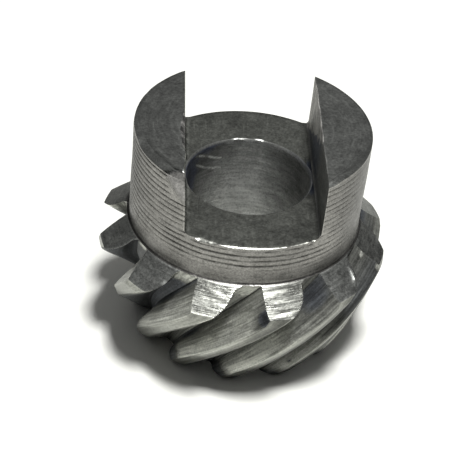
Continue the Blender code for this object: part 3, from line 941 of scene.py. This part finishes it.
def make_mesh(store):
    points = np.concatenate(store.points)
    used = np.zeros(len(points), bool)
    for f in store.faces:
        used[f] = True
    number = np.cumsum(used) - 1
    # the worn front tip of the left jaw lies in one plane
    over = points @ TIP_NORMAL - TIP_LEVEL
    by_tip = (points[:, 0] < -0.4) & (points[:, 1] < -0.5) & (points[:, 2] > -0.3)
    at_tip = by_tip & (over > 0)
    flat_top = points[:, 2] > -0.030
    soft = 0.012
    cut = np.where(over > soft, over, np.maximum(over + soft, 0.0) ** 2 / (4 * soft))
    slide = TIP_NORMAL * (0, 1, 1)
    points = points - np.outer(np.where(by_tip, cut, 0.0) / (slide @ TIP_NORMAL), slide)
    points[:, 0] += LEAN * (1 - smooth(-points[:, 2], 0.1, HUB_LENGTH))
    kept = points[used] * HUB_RADIUS
    kept[:, 2] += TOTAL * HUB_RADIUS
    mesh = bpy.data.meshes.new("pinion")
    faces = [[int(number[i]) for i in f] for f in store.faces]
    mesh.from_pydata(kept.tolist(), [], faces)
    grain = mesh.attributes.new("grain", "FLOAT_VECTOR", "CORNER")
    values = np.zeros((len(mesh.loops), 3), np.float32)
    values[:] = np.array(store.grain, np.float32)
    corner = np.array([i for f in store.faces for i in f])
    # painted shade along the crease of the worn jaw tip, and a painted highlight as a white dot at its inner corner
    crease_painted_shade = np.where(by_tip & flat_top, np.exp(-((over / 0.020) ** 2)), 0.0)
    painted_glint_dot = crease_painted_shade * (points[:, 0] > -0.578)
    values[:, 2] += (3.4 * painted_glint_dot - 0.7 * (crease_painted_shade - painted_glint_dot))[corner]
    grain.data.foreach_set("vector", values.ravel())
    kinds = [
        FILED if kind == TURNED and any(by_tip[i] and over[i] > -soft for i in f)
        or kind == JAW and all(at_tip[i] for i in f) else kind
        for kind, f in zip(store.kinds, store.faces)
    ]
    mesh.polygons.foreach_set("material_index", np.array(kinds, np.int32))
    bm = bmesh.new()
    bm.from_mesh(mesh)
    bmesh.ops.recalc_face_normals(bm, faces=bm.faces)
    open_edges = sum(len(e.link_faces) != 2 for e in bm.edges)
    # convex and hollow edges, for wear and dirt
    bm.verts.ensure_lookup_table()
    bm.normal_update()
    ridge = np.zeros(len(bm.verts))
    for e in bm.edges:
        if len(e.link_faces) == 2:
            angle = e.calc_face_angle_signed(0.0)
            for v in e.verts:
                if abs(angle) > abs(ridge[v.index]):
                    ridge[v.index] = angle
    bm.to_mesh(mesh)
    bm.free()
    mesh.attributes.new("ridge", "FLOAT", "POINT").data.foreach_set("value", ridge.astype(np.float32))
    for polygon in mesh.polygons:
        polygon.use_smooth = True
    mesh.set_sharp_from_angle(angle=math.radians(30))
    mesh.update()
    triangles = sum(len(p.vertices) - 2 for p in mesh.polygons)
    print("pinion:", len(mesh.vertices), "points,", triangles, "triangles,", open_edges, "open edges")
    return mesh


# ---- materials -----------------------------------------------------------------------------------------
class Nodes:
    """Small helpers to write a node tree in short lines."""

    def __init__(self, tree):
        self.tree = tree

    def new(self, kind, **settings):
        node = self.tree.nodes.new(kind)
        for key, value in settings.items():
            setattr(node, key, value)
        return node

    def put(self, socket, value):
        if isinstance(value, bpy.types.NodeSocket):
            self.tree.links.new(value, socket)
        elif value is not None:
            socket.default_value = value

    def math(self, op, a, b=None, c=None, clamp=False):
        node = self.new("ShaderNodeMath", operation=op, use_clamp=clamp)
        for i, v in enumerate((a, b, c)):
            self.put(node.inputs[i], v)
        return node.outputs[0]

    def scaled(self, vector, x, y, z):
        node = self.new("ShaderNodeVectorMath", operation="MULTIPLY")
        self.put(node.inputs[0], vector)
        node.inputs[1].default_value = (x, y, z)
        return node.outputs[0]

    def noise(self, vector, scale, detail=3.0, rough=0.55, distort=0.0):
        node = self.new("ShaderNodeTexNoise")
        self.put(node.inputs["Vector"], vector)
        node.inputs["Scale"].default_value = scale
        node.inputs["Detail"].default_value = detail
        node.inputs["Roughness"].default_value = rough
        node.inputs["Distortion"].default_value = distort
        return node.outputs["Fac"]

    def ramp(self, value, lo, hi, out_lo=0.0, out_hi=1.0, smoothstep=True):
        node = self.new("ShaderNodeMapRange", interpolation_type="SMOOTHSTEP" if smoothstep else "LINEAR")
        self.put(node.inputs["Value"], value)
        node.inputs["From Min"].default_value = lo
        node.inputs["From Max"].default_value = hi
        node.inputs["To Min"].default_value = out_lo
        node.inputs["To Max"].default_value = out_hi
        return node.outputs["Result"]

    def mix(self, factor, a, b):
        node = self.new("ShaderNodeMix", data_type="RGBA")
        self.put(node.inputs["Factor"], factor)
        self.put(node.inputs["A"], a)
        self.put(node.inputs["B"], b)
        return node.outputs["Result"]


def steel(name, base, dark, rough, rough_spread, streak, streak_scale, bump_um, grain_um,
          stain=0.5, scratch=0.3, dirt=0.6, shine=0.25, metal=1.0, gritty=1.1, lined=0.6, shade_tint=0.0, edge=1.0):
    """Worn machined steel. streak_scale is (along, across) in cycles per millimetre; bump_um
    and grain_um are the depths of the tool marks and of the fine grain in micrometres."""
    material = bpy.data.materials.new(name)
    material.use_nodes = True
    tree = material.node_tree
    tree.nodes.clear()
    n = Nodes(tree)
    out = n.new("ShaderNodeOutputMaterial")
    shader = n.new("ShaderNodeBsdfPrincipled")
    tree.links.new(shader.outputs["BSDF"], out.inputs["Surface"])
    shader.inputs["Metallic"].default_value = metal
    shader.inputs["IOR"].default_value = 1.5

    place = n.new("ShaderNodeTexCoord").outputs["Object"]
    place_mm = n.scaled(place, 1000.0, 1000.0, 1000.0)
    grain = n.new("ShaderNodeAttribute", attribute_name="grain").outputs["Vector"]
    parts = n.new("ShaderNodeSeparateXYZ")
    n.put(parts.inputs[0], grain)
    painted = parts.outputs["Z"]
    ridge = n.new("ShaderNodeAttribute", attribute_name="ridge").outputs["Fac"]

    stains = n.noise(place_mm, 0.32, 4.0, 0.6, 0.4)
    patches = n.noise(place_mm, 1.1, 4.0, 0.6)
    speckle = n.noise(place_mm, 4.2, 3.0, 0.65)
    grit = n.noise(place_mm, 6.2, 3.0, 0.75)
    blotch = n.noise(place_mm, 0.75, 3.0, 0.6, 0.5)
    lines = n.noise(n.scaled(grain, streak_scale[0], streak_scale[1], 1.0), 1.0, 3.0, 0.6)
    hair = n.noise(n.scaled(grain, streak_scale[0] * 2.2, streak_scale[1] * 2.6, 1.0), 1.0, 2.0, 0.6)
    cuts = n.noise(n.scaled(grain, 0.35, streak_scale[1] * 1.5, 1.0), 1.0, 1.0, 0.5)
    cut_mask = n.ramp(cuts, 0.66, 0.72)

    worn = n.ramp(ridge, 0.25, 0.9)
    hollow = n.ramp(n.math("MULTIPLY", ridge, -1.0), 0.15, 0.9)

    tone = n.math("MULTIPLY", n.ramp(stains, 0.35, 0.68, smoothstep=False), stain)
    tone = n.math("ADD", tone, n.math("MULTIPLY", n.ramp(patches, 0.3, 0.7, smoothstep=False), stain * 0.6))
    tone = n.math("ADD", tone, n.math("MULTIPLY", n.ramp(lines, 0.25, 0.75, smoothstep=False), streak))
    tone = n.math("ADD", tone, n.math("MULTIPLY", n.ramp(speckle, 0.25, 0.75, smoothstep=False), 0.35))
    total = stain * 1.6 + streak + 0.35
    tone = n.math("DIVIDE", tone, total, clamp=True)
    colour = n.mix(n.ramp(tone, 0.15, 0.85, smoothstep=False), (*dark, 1.0), (*base, 1.0))
    grime = n.math("MULTIPLY", hollow, dirt)
    colour = n.mix(grime, colour, (0.035, 0.034, 0.031, 1.0))
    bright = tuple(min(1.0, c * 1.55) for c in base)
    colour = n.mix(n.math("MULTIPLY", worn, shine), colour, (*bright, 1.0))
    colour = n.mix(n.math("MULTIPLY", cut_mask, scratch), colour, (*bright, 1.0))
    # painted light and shade, stains and scraped places from the tone, grit and a few dark blotches
    edge_noise = n.math("MULTIPLY_ADD", n.math("SUBTRACT", speckle, 0.5), 0.35, 1.0)
    gain = n.math("MULTIPLY_ADD", painted, edge_noise, 1.0)
    gain = n.math("MULTIPLY", gain, n.math("MULTIPLY_ADD", n.math("SUBTRACT", grit, 0.5), gritty, 1.0))
    gain = n.math("MULTIPLY", gain, n.math("MULTIPLY_ADD", n.math("SUBTRACT", lines, 0.5), lined, 1.0))
    gain = n.math("MULTIPLY", gain, n.ramp(blotch, 0.26, 0.42, 0.72, 1.0))
    gain = n.math("MINIMUM", n.math("MAXIMUM", gain, 0.10), 2.4)
    node = n.new("ShaderNodeVectorMath", operation="SCALE")
    n.put(node.inputs[0], colour)
    n.put(node.inputs["Scale"], gain)
    # a bluish tint on the darkest painted shade, a painted reflection
    shade_tinted = n.scaled(node.outputs[0], 0.87, 0.98, 1.42)
    shade_tint_mask = n.math("MULTIPLY", n.ramp(painted, -0.40, -0.74), shade_tint)
    n.put(shader.inputs["Base Color"], n.mix(shade_tint_mask, node.outputs[0], shade_tinted))
    shader.inputs["Specular Tint"].default_value = (edge, edge, edge, 1.0)

    r = n.math("MULTIPLY_ADD", n.math("SUBTRACT", speckle, 0.5), rough_spread * 1.4, rough)
    r = n.math("MULTIPLY_ADD", n.math("SUBTRACT", patches, 0.5), rough_spread, r)
    r = n.math("MULTIPLY_ADD", n.math("SUBTRACT", lines, 0.5), rough_spread, r)
    r = n.math("MULTIPLY_ADD", worn, -0.08, r)
    r = n.math("MULTIPLY_ADD", grime, 0.25, r)
    r = n.math("MULTIPLY_ADD", n.math("MINIMUM", painted, 0.0), -0.12, r)
    r = n.math("MAXIMUM", r, 0.12)
    n.put(shader.inputs["Roughness"], r)

    height = n.math("MULTIPLY", lines, bump_um)
    height = n.math("MULTIPLY_ADD", hair, bump_um * 0.45, height)
    height = n.math("MULTIPLY_ADD", cut_mask, -bump_um * 0.35, height)
    height = n.math("MULTIPLY_ADD", speckle, grain_um, height)
    height = n.math("MULTIPLY_ADD", patches, grain_um * 1.5, height)
    bump = n.new("ShaderNodeBump")
    bump.inputs["Strength"].default_value = 1.0
    bump.inputs["Distance"].default_value = 1e-6
    n.put(bump.inputs["Height"], height)
    n.put(shader.inputs["Normal"], bump.outputs["Normal"])
    return material


def pinion_materials():
    tint = lambda v, red, blue: (v * red, v, v * blue)
    hub = lambda v: tint(v, 1.022, 0.946)
    flat = lambda v: tint(v, 0.975, 0.948)
    cast = lambda v: tint(v, 0.972, 0.905)
    cut = lambda v: tint(v, 0.985, 0.912)
    return [
        steel("steel_turned", hub(0.25), hub(0.15), 0.38, 0.20, 0.3, (0.5, 6.0), 4.0, 9.0, lined=0.3, gritty=2.0),
        steel("steel_jaw", flat(0.245), flat(0.15), 0.40, 0.18, 0.2, (0.5, 4.0), 2.0, 10.0, lined=0.2, gritty=1.4),
        steel("steel_milled", cast(0.25), cast(0.145), 0.38, 0.20, 0.15, (1.8, 2.6), 2.0, 10.0, lined=0.15, gritty=1.5, shade_tint=1.0, edge=0.6),
        steel("steel_bored", tint(0.34, 0.985, 0.95), tint(0.17, 0.985, 0.95), 0.50, 0.20, 0.4, (0.35, 3.6), 8.0, 10.0, metal=0.6, lined=1.1, gritty=1.7, shade_tint=1.0),
        steel("steel_heel", cut(0.38), cut(0.19), 0.34, 0.28, 0.9, (0.60, 7.5), 15.0, 10.0, lined=1.6, gritty=1.7),
        steel("steel_flank", cut(0.35), cut(0.15), 0.50, 0.26, 1.0, (0.22, 5.0), 18.0, 7.0, metal=0.75, lined=1.9, gritty=1.5, shade_tint=0.5),
        steel("steel_land", cut(0.36), cut(0.21), 0.36, 0.20, 0.6, (0.3, 5.0), 7.0, 6.0, lined=1.0, gritty=1.2),
        steel("steel_toe", flat(0.25), flat(0.15), 0.42, 0.20, 0.5, (0.3, 5.0), 6.0, 5.0),
        steel("steel_scraped", cut(0.55), cut(0.36), 0.36, 0.24, 0.5, (1.2, 3.0), 9.0, 9.0, stain=0.3, dirt=0.2),
        steel("steel_filed", hub(0.27), hub(0.17), 0.62, 0.20, 0.5, (0.5, 4.0), 6.0, 8.0, metal=0.35, dirt=0.2, gritty=2.0),
        steel("steel_dull", flat(0.36), flat(0.19), 0.38, 0.22, 0.25, (0.5, 4.0), 5.0, 11.0, lined=0.3, gritty=1.9),
    ]


# ---- build the piece ----------------------------------------------------------------------------------------
pinion_mesh = make_mesh(build())
for m in pinion_materials():
    pinion_mesh.materials.append(m)
pinion = bpy.data.objects.new("pinion", pinion_mesh)
bpy.context.scene.collection.objects.link(pinion)
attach(pinion, "root")
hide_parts("pinion_gear")


# ---- floor, light and camera -----------------------------------------------------------------------------------
def make_floor():
    bm = bmesh.new()
    bmesh.ops.create_grid(bm, x_segments=8, y_segments=8, size=0.6)
    mesh = bpy.data.meshes.new("floor")
    bm.to_mesh(mesh)
    bm.free()
    floor = bpy.data.objects.new("floor", mesh)
    floor.location.z = -0.00001
    bpy.context.scene.collection.objects.link(floor)
    material = bpy.data.materials.new("pale_floor")
    material.use_nodes = True
    n = Nodes(material.node_tree)
    shader = material.node_tree.nodes["Principled BSDF"]
    place = n.new("ShaderNodeTexCoord").outputs["Object"]
    cloud = n.noise(place, 60.0, 3.0)
    n.put(shader.inputs["Base Color"], n.mix(cloud, (0.86, 0.863, 0.818, 1), (0.88, 0.883, 0.838, 1)))
    shader.inputs["Roughness"].default_value = 0.7
    shader.inputs["Specular IOR Level"].default_value = 0.2
    mesh.materials.append(material)


def area_light(name, place, aim, width, height, watts):
    data = bpy.data.lights.new(name, "AREA")
    data.shape = "RECTANGLE"
    data.size, data.size_y = width, height
    data.energy = watts
    lamp = bpy.data.objects.new(name, data)
    bpy.context.scene.collection.objects.link(lamp)
    x, y, z = (p - a for p, a in zip(place, aim))
    length = math.sqrt(x * x + y * y + z * z)
    back = np.array([x, y, z]) / length  # the lamp shines along its own -Z
    side = np.cross([0.0, 1.0, 0.0], back)
    side /= np.linalg.norm(side)
    up = np.cross(back, side)
    rows = np.array([side, up, back]).T
    lamp.matrix_world = Matrix(
        [[*rows[0], place[0]], [*rows[1], place[1]], [*rows[2], place[2]], [0, 0, 0, 1]]
    )
    return lamp


def make_world():
    world = bpy.data.worlds.new("studio")
    bpy.context.scene.world = world
    world.use_nodes = True
    n = Nodes(world.node_tree)
    background = world.node_tree.nodes["Background"]
    up = n.new("ShaderNodeSeparateXYZ")
    n.put(up.inputs[0], n.new("ShaderNodeTexCoord").outputs["Generated"])
    lean = n.math("MULTIPLY_ADD", up.outputs["Y"], 0.35, up.outputs["Z"])
    level = n.ramp(lean, 0.35, 0.85)
    n.put(background.inputs["Color"], n.mix(level, (0.03, 0.03, 0.032, 1), (0.27, 0.27, 0.27, 1)))
    background.inputs["Strength"].default_value = 1.0


def make_camera():
    data = bpy.data.cameras.new("camera")
    data.sensor_fit = "HORIZONTAL"
    data.sensor_width = 36.0
    data.lens = 36.0 * 1445.1215 / 470.0
    data.clip_start, data.clip_end = 0.005, 10.0
    camera = bpy.data.objects.new("camera", data)
    bpy.context.scene.collection.objects.link(camera)
    x = (0.99700038, -0.02559570, 0.07304179)
    y = (-0.04131245, 0.62205095, 0.78188612)
    z = (-0.06544864, -0.78255829, 0.61912761)
    eye = (-0.89491605, -9.99642957, 6.73469940)
    eye = (eye[0] * HUB_RADIUS, eye[1] * HUB_RADIUS, (eye[2] + TOTAL) * HUB_RADIUS)
    camera.matrix_world = Matrix(
        [[x[i], y[i], z[i], eye[i]] for i in range(3)] + [[0, 0, 0, 1]]
    )
    bpy.context.scene.camera = camera


make_floor()
make_world()
make_camera()
area_light("soft_overhead", (0.032, -0.050, 0.345), (0.0, 0.0, 0.01), 0.065, 0.065, 1.55)

view = bpy.context.scene.view_settings
view.view_transform = "Standard"
view.look = "None"
view.exposure = 0.0
view.gamma = 1.0
